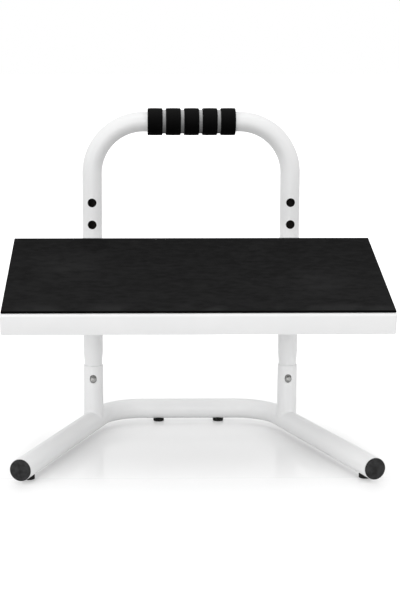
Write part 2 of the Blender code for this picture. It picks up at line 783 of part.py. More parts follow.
def ring_from(top, height, outer, bore):
    """The profile of a plain ring between two heights."""
    low = top - height
    return [(outer, top), (outer, low), (bore, low), (bore, top)]


stud_bore = STUD_D / 2 + GAP
washer_top = -(BRACKET_T + GAP)
nut_top = washer_top - WASHER_T - GAP
nut_r = NUT_ACROSS / math.sqrt(3)
stud_profile = [(0, 0), (STUD_D / 2, 0), (STUD_D / 2, -stud_length), (0, -stud_length)]
under_tray("stud", stud_profile, SMALL_SIDES, 0.40, closed=False)
under_tray("washer", ring_from(washer_top, WASHER_T, WASHER_D / 2, stud_bore), SMALL_SIDES, 0.35)
nut_bore = stud_bore / math.cos(math.pi / 6)
under_tray("nut", ring_from(nut_top, NUT_H, nut_r, nut_bore), 6, 0.35)


# Stop pins: a steel shank in the upright's hole with a moulded knob in front of the sleeve

knob_back = SLEEVE_R + GAP
spigot_end = knob_back + PIN_SPIGOT_H
pin_profile = [
    (0, spigot_end),
    (PIN_SPIGOT_D / 2, spigot_end),
    (PIN_SPIGOT_D / 2, knob_back),
    (PIN_R, knob_back),
    (PIN_R, TUBE_R - PIN_DEPTH + PIN_TIP),
    (PIN_R - PIN_TIP, TUBE_R - PIN_DEPTH),
    (0, TUBE_R - PIN_DEPTH),
]


def knob_profile():
    """A knob with a blind hole for the pin's spigot. Its back is at the sleeve."""
    back = knob_back + GAP
    face = back + PIN_KNOB_H
    rim = PIN_KNOB_D / 2
    bore = PIN_SPIGOT_D / 2 + GAP
    deep = spigot_end + GAP
    return [
        (0, face),
        (rim - PIN_KNOB_EDGE, face),
        (rim, face - PIN_KNOB_EDGE),
        (rim, back + PIN_KNOB_EDGE),
        (rim - PIN_KNOB_EDGE, back),
        (bore, back),
        (bore, deep),
        (0, deep),
    ]


for side_name, side in SIDES:
    seat_at = Vector((side * POST_X, POST_Y, SEAT_Z))
    pin = add(side_name + "_stop_pin", turned(pin_profile, SMALL_SIDES), at=seat_at, turn=TURN_Y)
    finish(pin, STEEL, 0.35, 1.0)
    knob = add(side_name + "_pin_knob", turned(knob_profile(), SMALL_SIDES), at=seat_at, turn=TURN_Y)
    finish(knob, CHARCOAL, 0.55)

bpy.context.view_layer.update()
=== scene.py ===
# %% [markdown]
# A footrest for use under a desk. A sloped steel platform with a rubber mat slides on a bent-tube stand,
# whose uprights arch over into a carrying handle with a foam grip.
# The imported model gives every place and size, and this script gives each piece its finished surface.

# %% Load the frame
import math

import bmesh
import bpy
from mathutils import Matrix, Vector


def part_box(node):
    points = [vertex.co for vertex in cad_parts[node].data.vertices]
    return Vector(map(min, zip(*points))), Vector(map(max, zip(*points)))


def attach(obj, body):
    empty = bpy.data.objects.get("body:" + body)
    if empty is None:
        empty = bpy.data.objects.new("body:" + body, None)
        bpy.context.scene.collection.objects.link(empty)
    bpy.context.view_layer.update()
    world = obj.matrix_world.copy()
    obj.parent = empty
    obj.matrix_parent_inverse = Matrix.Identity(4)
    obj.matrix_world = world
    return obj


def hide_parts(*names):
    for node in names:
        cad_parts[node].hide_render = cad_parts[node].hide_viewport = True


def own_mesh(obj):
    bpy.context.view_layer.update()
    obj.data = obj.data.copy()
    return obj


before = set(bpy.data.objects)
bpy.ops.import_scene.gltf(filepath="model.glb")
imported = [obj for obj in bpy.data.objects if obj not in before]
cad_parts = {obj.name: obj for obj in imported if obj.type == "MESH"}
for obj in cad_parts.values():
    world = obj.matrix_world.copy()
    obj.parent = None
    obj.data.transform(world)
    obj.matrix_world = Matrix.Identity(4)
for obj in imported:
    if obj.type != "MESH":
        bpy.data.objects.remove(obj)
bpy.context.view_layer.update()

# %% [markdown]
# The driving sizes come from the frame wherever a box can give them: a post's box holds its axis, its
# radius and its top. Bends, walls and folds can't be read from a box, so they are named here.

# %% Sizes
SIDES = (("left", -1), ("right", 1))
GAP = 0.0003


def middle(node):
    """The middle of a node's box."""
    low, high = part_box(node)
    return (low + high) / 2


def extent(node):
    """The size of a node's box."""
    low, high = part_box(node)
    return high - low


POST_X, POST_Y = middle("right_post").xy
TUBE_R = extent("right_post").x / 2
POST_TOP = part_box("right_post")[1].z
BASE_Z = middle("base_tube").z
BASE_R = extent("base_tube").z / 2
HANDLE_TOP = middle("grip_core").z
SEAT_Z = middle("right_pin_knob").z
BUTTON_Z = middle("right_button").z
SLEEVE_R = extent("right_sleeve").x / 2

BASE_WALL = 0.0015
LEG_SPREAD = math.radians(18.45)
LEG_REACH = 0.2545
CROSSBAR_BACK = 0.07028
BASE_BEND_R = 0.0630
POST_WALL = 0.0010
HANDLE_WALL = 0.0012
HANDLE_BEND_R = 0.0700
CONE_LENGTH = 0.0220
INSERT_R = TUBE_R - POST_WALL - GAP
HANDLE_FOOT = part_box("handle_frame")[0].z
CAP_FLANGE = 0.0030
CAP_PLUG_LENGTH = 0.0105
PAD_HEIGHT = 0.0040
TILT = math.radians(14.6)
print(f"posts at x {POST_X:.4f}, y {POST_Y:.4f}, tube radius {TUBE_R:.4f}, handle top {HANDLE_TOP:.4f}")

# %% [markdown]
# A photograph taken with a long lens from a little above shows the platform as a wide black trapezium.
# The camera stands left of the middle, because the picture's vanishing point lies left of its centre.
# The rest of that offset is a small lens shift. The sensor is Blender's own, 36 mm wide.

# %% Camera
CAMERA_X = -0.0800
CAMERA_BACK = 2.0440
CAMERA_Z = 0.5290
CAMERA_PITCH = math.radians(9.46)
CAMERA_YAW = math.radians(0.86)
LENS_MM = 90.0
SHIFT_X = 0.0750


def linked(data, name="scratch"):
    """A new object in the scene."""
    obj = bpy.data.objects.new(name, data)
    bpy.context.scene.collection.objects.link(obj)
    return obj


camera_data = bpy.data.cameras.new("photo_camera")
camera_data.lens = LENS_MM
camera_data.shift_x = SHIFT_X
camera = linked(camera_data, "photo_camera")
camera.location = (CAMERA_X, POST_Y - CAMERA_BACK, CAMERA_Z)
camera.rotation_euler = (math.pi / 2 - CAMERA_PITCH, 0, -CAMERA_YAW)
bpy.context.scene.camera = camera
print("camera at", [round(c, 4) for c in camera.location])

# %% [markdown]
# Materials are trees of nodes, and these helpers keep the trees short to write. An input of a node can be
# linked or set to a plain value, and feed does whichever fits. The others add a node with its inputs, work
# out a number, take a value from one range to another and blend two colours.

# %% Node helpers
def feed(tree, target, value):
    """Links a socket to an input, or sets the input to a plain value."""
    if isinstance(value, bpy.types.NodeSocket):
        tree.links.new(value, target)
    else:
        target.default_value = value


def add_node(tree, kind, **values):
    """A node whose settings and inputs are given by name."""
    node = tree.nodes.new("ShaderNode" + kind)
    for name, value in values.items():
        if hasattr(node, name):
            setattr(node, name, value)
        else:
            feed(tree, node.inputs[name.replace("_", " ").title()], value)
    return node


def math_node(tree, operation, first, second=0.0):
    """The result of a Math node."""
    node = add_node(tree, "Math", operation=operation)
    feed(tree, node.inputs[0], first)
    feed(tree, node.inputs[1], second)
    return node.outputs[0]


def ramp(tree, value, span, result=(0.0, 1.0), smooth=False):
    """Goes from the result's first number to its second while the value goes through a span."""
    node = add_node(tree, "MapRange", value=value, from_min=span[0], from_max=span[1],
                    to_min=result[0], to_max=result[1])
    if smooth:
        node.interpolation_type = "SMOOTHSTEP"
    return node.outputs["Result"]


def blend(tree, mask, *tones):
    """A colour between two tones, by a mask. A tone is a socket, three numbers, or one for a grey."""
    node = add_node(tree, "Mix", data_type="RGBA", factor=mask)
    for label, tone in zip("AB", tones):
        if isinstance(tone, float):
            tone = (tone, tone, tone)
        feed(tree, node.inputs[label], (*tone, 1.0) if isinstance(tone, tuple) else tone)
    return node.outputs["Result"]


# %% [markdown]
# An effect that several materials need is made once, as a group. This helper makes an empty group with
# named sockets, and returns them for the nodes in between.

# %% Group helper
def new_group(name, inputs, outputs):
    """A group with a vector input, number inputs with their defaults, and number outputs."""
    group = bpy.data.node_groups.new(name, "ShaderNodeTree")
    group.interface.new_socket("Vector", in_out="INPUT", socket_type="NodeSocketVector")
    for socket, default in inputs.items():
        made = group.interface.new_socket(socket, in_out="INPUT", socket_type="NodeSocketFloat")
        made.default_value = default
    for socket in outputs:
        group.interface.new_socket(socket, in_out="OUTPUT", socket_type="NodeSocketFloat")
    print("group", name)
    return group, group.nodes.new("NodeGroupInput").outputs, group.nodes.new("NodeGroupOutput").inputs


# %% [markdown]
# No real surface is one even colour. This group gives a slow drift between 0 and 1, for a colour or a
# roughness to follow. A Noise texture could be used bare, but its values crowd round the middle, so the
# group stretches them first.

# %% Slow drift, shared by every material
DRIFT_SPREAD = (0.30, 0.70)
drift_group, given, result = new_group("slow_drift", {"Scale": 20.0, "Detail": 3.0}, ["Mask"])
noise = add_node(drift_group, "TexNoise", vector=given["Vector"], scale=given["Scale"],
                 detail=given["Detail"])
feed(drift_group, result["Mask"], ramp(drift_group, noise.outputs["Fac"], DRIFT_SPREAD))

# %% [markdown]
# Moulded plastic, rubber and powder coat all have a fine pebbled skin. Cells from a Voronoi texture give
# its bumps, and a little noise breaks them up, so that they don't look like a pattern.

# %% Pebbled skin, shared by the paint, the rubber and the plastic
skin_group, given, result = new_group("pebbled_skin", {"Scale": 800.0, "Roughen": 0.35}, ["Height"])
spots = {"vector": given["Vector"], "scale": given["Scale"]}
cells = add_node(skin_group, "TexVoronoi", feature="SMOOTH_F1", **spots)
noise = add_node(skin_group, "TexNoise", detail=4.0, **spots)
rough = math_node(skin_group, "MULTIPLY", noise.outputs["Fac"], given["Roughen"])
feed(skin_group, result["Height"], math_node(skin_group, "ADD", cells.outputs["Distance"], rough))

# %% [markdown]
# Closed-cell foam is cut through its bubbles, so its surface is a field of tiny open cups. Cells at two
# sizes give the cups, and the mask is 0 where a cup is deep. The foams paint shade with it: their tone is
# darkest in the deep cups.

# %% Foam pores, shared by the black and the grey foam
PORE_RATIO = 2.3
PORE_SPREAD = (0.25, 0.95)
pore_group, given, result = new_group("foam_pores", {"Scale": 1400.0}, ["Height", "Mask"])
small_scale = math_node(pore_group, "MULTIPLY", given["Scale"], PORE_RATIO)
cups = [add_node(pore_group, "TexVoronoi", vector=given["Vector"], scale=scale).outputs["Distance"]
        for scale in (given["Scale"], small_scale)]
cup_height = math_node(pore_group, "ADD", *cups)
feed(pore_group, result["Height"], cup_height)
feed(pore_group, result["Mask"], ramp(pore_group, cup_height, PORE_SPREAD))


# %% [markdown]
# Every finish below has the same bones: a colour, a roughness between two values by a mask, and a height
# that bends the light. These helpers build them round the Principled shader. Most finishes are a pebbled
# skin whose tone and roughness drift in patches, so one function makes all of those.

# %% Bones of a finish
def place_group(tree, group, vector, **values):
    """The outputs of a group in a material, with its own values."""
    node = tree.nodes.new("ShaderNodeGroup")
    node.node_tree = group
    feed(tree, node.inputs["Vector"], vector)
    for name, value in values.items():
        node.inputs[name].default_value = value
    return node.outputs


def new_finish(name, metallic=0.0, specular=0.5):
    """An empty finish: its tree, its shader and the object's own coordinates."""
    material = bpy.data.materials.new(name)
    material.use_nodes = True
    tree = material.node_tree
    shader = tree.nodes["Principled BSDF"]
    shader.inputs["Metallic"].default_value = metallic
    shader.inputs["Specular IOR Level"].default_value = specular
    return material, tree, shader, tree.nodes.new("ShaderNodeTexCoord").outputs["Object"]


def fit_shader(tree, shader, colour, worn, roughness, height, depth):
    """Colour, roughness between two values by the mask worn, and a bump, its depth in metres."""
    bump = add_node(tree, "Bump", distance=depth)
    feed(tree, bump.inputs["Height"], height)
    feed(tree, shader.inputs["Base Color"], colour)
    feed(tree, shader.inputs["Roughness"], ramp(tree, worn, (0.0, 1.0), roughness))
    feed(tree, shader.inputs["Normal"], bump.outputs["Normal"])


def skinned(name, tones, roughness, patches, skin, depth, **kind):
    """A finish with a pebbled skin, whose tone and roughness drift in patches."""
    material, tree, shader, place = new_finish(name, **kind)
    mask = place_group(tree, drift_group, place, **patches)["Mask"]
    height = place_group(tree, skin_group, place, **skin)["Height"]
    fit_shader(tree, shader, blend(tree, mask, *tones), mask, roughness, height, depth)
    return material


# %% [markdown]
# Powder coat is melted on, so it is smooth with a faint orange peel, about 2 mm from bump to bump and a
# hundredth of a millimetre high. Its gloss varies a little from place to place. Inside a tube there is no
# paint, only the dark scale of rolled steel with a few patches of rust.

# %% White powder coat, and bare steel inside the tubes
powder_coat = skinned("white_powder_coat", tones=((0.775, 0.778, 0.780), 0.805), roughness=(0.34, 0.42),
                      patches={"Scale": 14.0}, skin={"Scale": 520.0, "Roughen": 0.20}, depth=0.000012)
bare_steel = skinned("bare_steel", tones=((0.010, 0.010, 0.011), (0.040, 0.032, 0.027)),
                     roughness=(0.55, 0.80), patches={"Scale": 160.0, "Detail": 6.0},
                     skin={"Scale": 1200.0, "Roughen": 0.6}, depth=0.00003, metallic=0.6)

# %% [markdown]
# The mat is matt black rubber with a leathery skin: fine creases that wander mostly across the platform,
# and cloudy streaks where the rubber sheet has been handled. The noise is squeezed along the slope, which
# draws it out across the width. A painted light also makes it a little greyer towards the low front and
# darker towards the rear.

# %% Mat rubber: creases and clouds
MAT_TONES = ((0.0034, 0.0034, 0.0035), (0.0112, 0.0112, 0.0114))
TONE_SPREAD = (0.27, 0.73)
CLOUD_SHARE, STREAK_SHARE, FRONT_LIGHT_SHARE = 0.38, 0.37, 0.25
FRONT_LIGHT_SPAN = (0.07, -0.17)
SQUEEZE = (0.65, 1.3, 1.3)
CREASE_SCALE, CREASE_WIDTH, CREASE_HEIGHT = 260.0, 0.12, 6.0

mat_rubber, tree, shader, place = new_finish("mat_rubber", specular=0.03)
stretch = add_node(tree, "Mapping", vector=place, scale=SQUEEZE).outputs["Vector"]
along = add_node(tree, "SeparateXYZ", vector=place).outputs
cloud = place_group(tree, drift_group, stretch, Scale=30.0, Detail=6.0)["Mask"]
streaks = place_group(tree, drift_group, stretch, Scale=110.0, Detail=8.0)["Mask"]
# Painted light: the tone rises from the rear of the mat to its front.
front_light = ramp(tree, along["Y"], FRONT_LIGHT_SPAN)
tone = math_node(tree, "MULTIPLY", cloud, CLOUD_SHARE)
for mask, share in ((streaks, STREAK_SHARE), (front_light, FRONT_LIGHT_SHARE)):
    tone = math_node(tree, "ADD", tone, math_node(tree, "MULTIPLY", mask, share))
clean_tone = blend(tree, ramp(tree, tone, TONE_SPREAD), *MAT_TONES)

creases = add_node(tree, "TexVoronoi", feature="DISTANCE_TO_EDGE", vector=stretch, scale=CREASE_SCALE)
crease_depth = math_node(tree, "MINIMUM", creases.outputs["Distance"], CREASE_WIDTH)
crease_height = math_node(tree, "MULTIPLY", crease_depth, CREASE_HEIGHT)
mat_skin = place_group(tree, skin_group, place, Scale=900.0, Roughen=0.5)["Height"]
mat_height = math_node(tree, "ADD", crease_height, mat_skin)
print("mat tree nodes", len(tree.nodes))

# %% [markdown]
# Three marks lie over the clouds. Heels have rubbed two patches grey, a broken grey rub runs along the
# front lip, and painted shade makes a darker line along the mat's rounded front edge.

# %% Mat rubber: rubs and painted edge shade
SCUFFED_TONE = (0.0165, 0.0165, 0.0168)
EDGE_SHADE_TONE = 0.0012
HEEL_RUBS = ((-0.158, -0.030), (0.152, -0.088))
HEEL_REACH = 0.065
LIP_RUB = (-0.143, -0.158)
LIP_BREAKS = (0.50, 0.80)
MAT_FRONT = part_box("rubber_mat")[0].y
EDGE_SHADE_SPAN = (MAT_FRONT + 0.0028, MAT_FRONT + 0.0012)


def rub_mask(point):
    """A mask that is 1 at a point of the mat, and fades to 0 at HEEL_REACH from it."""
    flat = add_node(tree, "CombineXYZ", x=along["X"], y=along["Y"]).outputs["Vector"]
    away = add_node(tree, "VectorMath", operation="DISTANCE", vector=flat)
    away.inputs[1].default_value = (*point, 0.0)
    return ramp(tree, away.outputs["Value"], (HEEL_REACH, 0.0), smooth=True)


patchy = place_group(tree, drift_group, stretch, Scale=60.0, Detail=6.0)["Mask"]
broad = place_group(tree, drift_group, place, Scale=14.0, Detail=3.0)["Mask"]
heels = math_node(tree, "MAXIMUM", *[rub_mask(point) for point in HEEL_RUBS])
heels = math_node(tree, "MULTIPLY", heels, patchy)
lip = ramp(tree, along["Y"], LIP_RUB, smooth=True)
lip = math_node(tree, "MULTIPLY", lip, ramp(tree, broad, LIP_BREAKS))
rubbed = blend(tree, math_node(tree, "MAXIMUM", heels, lip), clean_tone, SCUFFED_TONE)
# Painted shade: a darker line along the mat's front edge.
edge_shaded = blend(tree, ramp(tree, along["Y"], EDGE_SHADE_SPAN), rubbed, EDGE_SHADE_TONE)
fit_shader(tree, shader, edge_shaded, worn=cloud, roughness=(0.66, 0.82), height=mat_height, depth=0.00006)
print("mat tree nodes", len(tree.nodes))


# %% [markdown]
# The black and the grey foam are one material in two colours, so one function makes both. Its top is
# painted lighter than the lamps make it: the tone rises with height, up to so many times, as painted light,
# and the curve says how late the rise comes.

# %% Grip foam
TOP_LIGHT_REACH = 0.018
TOP_LIGHT_SPAN = (HANDLE_TOP - TOP_LIGHT_REACH, HANDLE_TOP + TOP_LIGHT_REACH)


def foam(name, deep, face, times, curve):
    """Closed-cell foam with painted shade in its pores, and painted light that makes it so many times lighter
    on top.
    """
    material, tree, shader, place = new_finish(name, specular=0.02)
    pores = place_group(tree, pore_group, place, Scale=1300.0)
    # Painted light: the tone rises with height, so the top is lighter than the lamps make it.
    upward = ramp(tree, add_node(tree, "SeparateXYZ", vector=place).outputs["Z"], TOP_LIGHT_SPAN)
    lighter = math_node(tree, "POWER", times, math_node(tree, "POWER", upward, curve))
    # Painted shade: the deep pores get the darker tone.
    tone = blend(tree, pores["Mask"], deep, face)
    top_lit_tone = add_node(tree, "VectorMath", operation="SCALE", vector=tone, scale=lighter).outputs["Vector"]
    worn = place_group(tree, drift_group, place, Scale=70.0)["Mask"]
    fit_shader(tree, shader, top_lit_tone, worn, roughness=(0.86, 0.98), height=pores["Height"], depth=0.00010)
    return material


black_foam = foam("grip_foam_black", deep=0.0006, face=0.0013, times=8.0, curve=1.0)
grey_foam = foam("grip_foam_grey", deep=0.145, face=0.193, times=3.3, curve=1.9)

# %% [markdown]
# The caps and the knobs are moulded in charcoal plastic with a spark-eroded skin. The pads are softer,
# darker rubber with the same kind of skin at a finer scale.

# %% Moulded charcoal plastic and pad rubber
MOULDED = {"patches": {"Scale": 180.0, "Detail": 4.0}, "specular": 0.2}
cap_plastic = skinned("cap_plastic", tones=(0.004, (0.027, 0.027, 0.028)), roughness=(0.48, 0.66),
                      skin={"Scale": 1500.0, "Roughen": 0.5}, depth=0.00005, **MOULDED)
pad_rubber = skinned("pad_rubber", tones=(0.006, 0.012), roughness=(0.72, 0.86),
                     skin={"Scale": 2200.0, "Roughen": 0.5}, depth=0.00003, **MOULDED)


# %% [markdown]
# Zinc plate and the nickel of the snap buttons are metals, so their colour is the colour of what they
# reflect. Fine scratches vary the roughness, which is what tells the eye that a metal is real.

# %% Plated steel
def plated(name, tones, roughness, scratch_scale):
    """Plated metal with patches in its tone and fine scratches in its polish."""
    material, tree, shader, place = new_finish(name, metallic=1.0)
    patches = place_group(tree, drift_group, place, Scale=240.0, Detail=4.0)["Mask"]
    scratches = place_group(tree, drift_group, place, Scale=scratch_scale, Detail=8.0)["Mask"]
    tone = blend(tree, patches, *tones)
    fit_shader(tree, shader, tone, scratches, roughness, height=scratches, depth=0.000008)
    return material


zinc_plate = plated("zinc_steel", ((0.50, 0.51, 0.53), (0.66, 0.66, 0.64)), (0.26, 0.44), 900.0)
button_nickel = plated("button_nickel", ((0.31, 0.31, 0.305), (0.43, 0.43, 0.42)), (0.46, 0.60), 1300.0)
spring_oxide = plated("spring_oxide", ((0.012, 0.012, 0.013), (0.030, 0.030, 0.032)), (0.45, 0.60), 700.0)
print("materials", [m.name for m in bpy.data.materials])

# %% [markdown]
# Blender can turn a profile, sweep a bar along a path, and cut one shape with another. The helpers below
# wrap these tools. Each returns a finished mesh, so that no modifier or curve is left behind.

# %% Shape helpers
SHARP_ANGLE = math.radians(32.0)
TUBE_SIDES = 72
ROD_SIDES = 48
BEND_STEPS = 28
SEAM = 0.000005
SPIN_SEAM = 0.000002


def meshed(bm, mesh=None):
    """A mesh with what is in a bmesh, which is then freed."""
    mesh = mesh or bpy.data.meshes.new("shape")
    bm.to_mesh(mesh)
    bm.free()
    return mesh


def settled(obj):
    """The object's mesh with its modifiers applied and its seams welded. The object is removed."""
    bpy.context.view_layer.update()
    graph = bpy.context.evaluated_depsgraph_get()
    mesh = bpy.data.meshes.new_from_object(obj.evaluated_get(graph))
    bpy.data.objects.remove(obj)
    bm = bmesh.new()
    bm.from_mesh(mesh)
    bmesh.ops.remove_doubles(bm, verts=bm.verts, dist=SEAM)
    return meshed(bm, mesh)


def turned(profile, sides=TUBE_SIDES):
    """A profile of (radius, height) points turned about Z, and closed to a ring if it starts off the axis."""
    bm = bmesh.new()
    verts = [bm.verts.new((r, 0, z)) for r, z in profile]
    closed = profile[0][0] > 0
    edges = [bm.edges.new(pair) for pair in zip(verts, verts[1:] + verts[:closed])]
    bmesh.ops.spin(bm, geom=verts + edges, axis=(0, 0, 1), angle=math.tau, steps=sides, use_merge=True)
    bmesh.ops.remove_doubles(bm, verts=bm.verts, dist=SPIN_SEAM)
    bmesh.ops.recalc_face_normals(bm, faces=bm.faces)
    return meshed(bm)


def ringed(rings, closed):
    """A skin over rings of points, each ring joined to the next. An open row gets a face at each end."""
    bm = bmesh.new()
    rings = [[bm.verts.new(point) for point in ring] for ring in rings]
    for ring, after in zip(rings, rings[1:] + rings[:closed]):
        for i in range(len(ring)):
            k = (i + 1) % len(ring)
            bm.faces.new((ring[i], ring[k], after[k], after[i]))
    if not closed:
        bm.faces.new(rings[0])
        bm.faces.new(rings[-1][::-1])
    bmesh.ops.recalc_face_normals(bm, faces=bm.faces)
    return meshed(bm)


def swept(points, radii, caps=False):
    """A round bar along points, with a radius at each."""
    curve = bpy.data.curves.new("path", "CURVE")
    curve.dimensions = "3D"
    curve.bevel_depth = 1.0
    curve.bevel_resolution = TUBE_SIDES // 2 - 2  # Blender makes two more sides for each half.
    curve.use_fill_caps = caps
    spline = curve.splines.new("POLY")
    spline.points.add(len(points) - 1)
    for knot, point, radius in zip(spline.points, points, radii):
        knot.co = (*point, 1.0)
        knot.radius = radius
    return settled(linked(curve))


def modified(mesh, kind, **settings):
    """The mesh after one modifier with these settings."""
    blank = linked(mesh)
    modifier = blank.modifiers.new("change", kind)
    for name, value in settings.items():
        setattr(modifier, name, value)
    return settled(blank)


def walled(mesh, thickness):
    """Gives an open surface a wall on its inner side. The inner faces take the second material."""
    for material in (powder_coat, bare_steel):
        mesh.materials.append(material)
    return modified(mesh, "SOLIDIFY", thickness=thickness, offset=-1.0, use_even_offset=True,
                    material_offset=1)


def softened(mesh, width):
    """Rounds the sharp edges of a mesh."""
    return modified(mesh, "BEVEL", width=width, segments=2, limit_method="ANGLE", angle_limit=SHARP_ANGLE)


def carved(mesh, cutters, operation="DIFFERENCE"):
    """Cuts a mesh with others, or keeps only what it shares with them."""
    blank = linked(mesh)
    guides = [linked(cutter) for cutter in cutters]
    for guide in guides:
        modifier = blank.modifiers.new("cut", "BOOLEAN")
        modifier.operation = operation
        modifier.object = guide
    result = settled(blank)
    for guide in guides:
        bpy.data.objects.remove(guide)
    return result


def moved(mesh, place, turn=Matrix()):
    """The mesh at a place, with a rotation."""
    mesh.transform(Matrix.Translation(place) @ turn)
    return mesh


def rod(radius, length, sides=ROD_SIDES):
    """A cylinder along Z about the origin."""
    bm = bmesh.new()
    bmesh.ops.create_cone(bm, cap_ends=True, segments=sides, radius1=radius, radius2=radius, depth=length)
    return meshed(bm)


def block(size, centre=(0, 0, 0)):
    """A bmesh of a box."""
    bm = bmesh.new()
    bmesh.ops.create_cube(bm, size=1.0, matrix=Matrix.Translation(centre) @ Matrix.Diagonal((*size, 1)))
    return bm


def arc(centre, start, end, radius, steps=BEND_STEPS):
    """Points on an arc in a plane, with both ends."""
    angles = [start + (end - start) * i / steps for i in range(steps + 1)]
    return [(centre[0] + radius * math.cos(a), centre[1] + radius * math.sin(a)) for a in angles]


TO_FRONT = Matrix.Rotation(math.pi / 2, 4, "X")
TO_SIDE = Matrix.Rotation(math.pi / 2, 4, "Y")
PAINT = ("white_powder_coat", powder_coat)
ZINC = ("zinc_steel", zinc_plate)
PLASTIC = ("cap_plastic", cap_plastic)


def piece(node, mesh, body, slot, *materials):
    """Puts a finished mesh in the place of a CAD node, with its materials. Its slot is not used."""
    if materials:
        mesh.materials.clear()
        for material in materials:
            mesh.materials.append(material)
    mesh.shade_smooth()
    mesh.set_sharp_from_angle(angle=SHARP_ANGLE)
    obj = linked(mesh, node + "_finished")
    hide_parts(node)
    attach(obj, body)
    return obj


# %% [markdown]
# The base is one tube, bent twice: a leg, a bend, the crossbar, a bend and the other leg. A swept curve
# gives it with true arcs. The legs run out at an angle through the posts' feet.

# %% Base tube
LEG_WAY = Vector((math.sin(LEG_SPREAD), -math.cos(LEG_SPREAD), 0))
CAP_FACE = Vector((POST_X + LEG_REACH * math.tan(LEG_SPREAD), POST_Y - LEG_REACH, BASE_Z))


def leg_point(back, side):
    """A point on a leg's axis, at a distance back from the cap's face."""
    point = CAP_FACE - LEG_WAY * back
    return Vector((side * point.x, point.y, point.z))


def base_line():
    """The base tube's axis, from the left leg's end to the right leg's end."""
    bend = math.pi / 2 - LEG_SPREAD
    corner_x = POST_X - CROSSBAR_BACK * math.tan(LEG_SPREAD)
    centre = (corner_x - BASE_BEND_R * math.tan(bend / 2), POST_Y + CROSSBAR_BACK - BASE_BEND_R)
    turn = arc(centre, math.pi / 2, math.pi / 2 - bend, BASE_BEND_R)
    right = [Vector((x, y, BASE_Z)) for x, y in turn] + [leg_point(CAP_FLANGE + GAP, 1)]
    left = [Vector((-p.x, p.y, p.z)) for p in reversed(right)]
    return left + right


def base_bar(extra, caps=True):
    """The base tube's bar, or a little thicker by extra, to shape what sits on it."""
    line = base_line()
    return swept(line, [BASE_R + extra] * len(line), caps)


PAD_NODES = [f"{end}_{side}_pad" for end in ("front", "rear") for side, _ in SIDES]
SCREW_HOLE_R = 0.0021
shell = walled(base_bar(0, caps=False), BASE_WALL)
screw_holes = [moved(rod(SCREW_HOLE_R, BASE_R), (*middle(pad).xy, PAD_HEIGHT)) for pad in PAD_NODES]
base = piece("base_tube", carved(shell, screw_holes), "stand", "white_powder_coat")
print("base tube faces", len(base.data.polygons))

# %% [markdown]
# Each post is a short tube with its foot cut to fit the base tube, and an oval hole for the snap button.
# Cutting with the base's own bar gives the foot its true saddle shape. The oval hole is a little above the
# button's middle, so a dark gap shows over the button, and the handle's tube end gets the same hole.

# %% Posts
POST_EDGE = 0.0003
SLOT_W = 0.0094
SLOT_H = 0.0116
SLOT_RISE = 0.0010


def short_tube(side, outer, wall, low, high):
    """A tube round an upright's axis, with a rounded top edge."""
    bore = outer - wall
    profile = [(outer, low), (outer, high - POST_EDGE), (outer - POST_EDGE, high), (bore + POST_EDGE, high),
               (bore, high - POST_EDGE), (bore, low)]
    return moved(turned(profile), (side * POST_X, POST_Y, 0))


def button_slot(side):
    """The cutter for a button's hole: a cylinder whose upper and lower halves are drawn apart."""
    cutter = rod(SLOT_W / 2, TUBE_R)
    for vertex in cutter.vertices:
        vertex.co.y += math.copysign((SLOT_H - SLOT_W) / 2, vertex.co.y)
    return moved(cutter, (side * POST_X, POST_Y - TUBE_R, BUTTON_Z + SLOT_RISE), TO_FRONT)


for side_name, side in SIDES:
    tube = short_tube(side, TUBE_R, POST_WALL, BASE_Z, POST_TOP)
    piece(side_name + "_post", carved(tube, [base_bar(GAP), button_slot(side)]), "stand", *PAINT)
print("posts at height", round(POST_TOP, 4))

# %% [markdown]
# The weld round a post's foot was ground smooth and painted over, so it is a soft hollow curve from the
# post to the base tube. Its section is drawn at each angle round the post, because the base tube falls
# away to the sides: the curve starts on the post's wall and ends on the tube's round surface.

# %% Welds round the posts' feet
FILLET_RISE = 0.0032
FILLET_REACH = 0.0030
FILLET_WRAP = 0.98
FILLET_SINK = 0.0003
FILLET_STEPS = 8
FILLET_SIDES = 96


def base_height(sideways):
    """The height of the base tube's surface above its axis."""
    return math.sqrt(BASE_R**2 - sideways**2)


def fillet_section(lean):
    """The fillet's section in (distance from the post's axis, height). Lean is how far off the leg it is."""
    corner = Vector((TUBE_R, base_height(TUBE_R * lean)))
    top = corner + Vector((0, FILLET_RISE))
    reach = min(TUBE_R + FILLET_REACH, BASE_R * FILLET_WRAP / max(lean, 0.01))
    out = Vector((reach, base_height(reach * lean)))
    shares = [i / FILLET_STEPS for i in range(FILLET_STEPS + 1)]
    curve = [top * (1 - t) ** 2 + corner * 2 * t * (1 - t) + out * t**2 for t in shares]
    sink = Vector((FILLET_SINK, 0))
    return curve + [corner - sink - Vector((0, FILLET_SINK)), top - sink]


def foot_fillet(side):
    """A closed ring of fillet sections round a post's foot."""
    across = Vector((math.cos(LEG_SPREAD), side * math.sin(LEG_SPREAD)))
    rings = []
    for i in range(FILLET_SIDES):
        angle = math.tau * i / FILLET_SIDES
        way = Vector((math.cos(angle), math.sin(angle)))
        section = fillet_section(abs(way.dot(across)))
        rings.append([(side * POST_X + r * way.x, POST_Y + r * way.y, BASE_Z + z) for r, z in section])
    return ringed(rings, closed=True)


for side_name, side in SIDES:
    piece(side_name + "_post_weld", foot_fillet(side), "stand", *PAINT)

# %% [markdown]
# A cap is a plug with a domed flange that covers the tube's cut end. A turned profile is enough, and its
# rounded rim is what catches the light as a thin ring.

# %% End caps
CAP_R = 0.0136
CAP_EDGE = 0.0008
CAP_DOME = 0.0011
CAP_PLUG_WALL = 0.0020
DOME_STEPS = 10


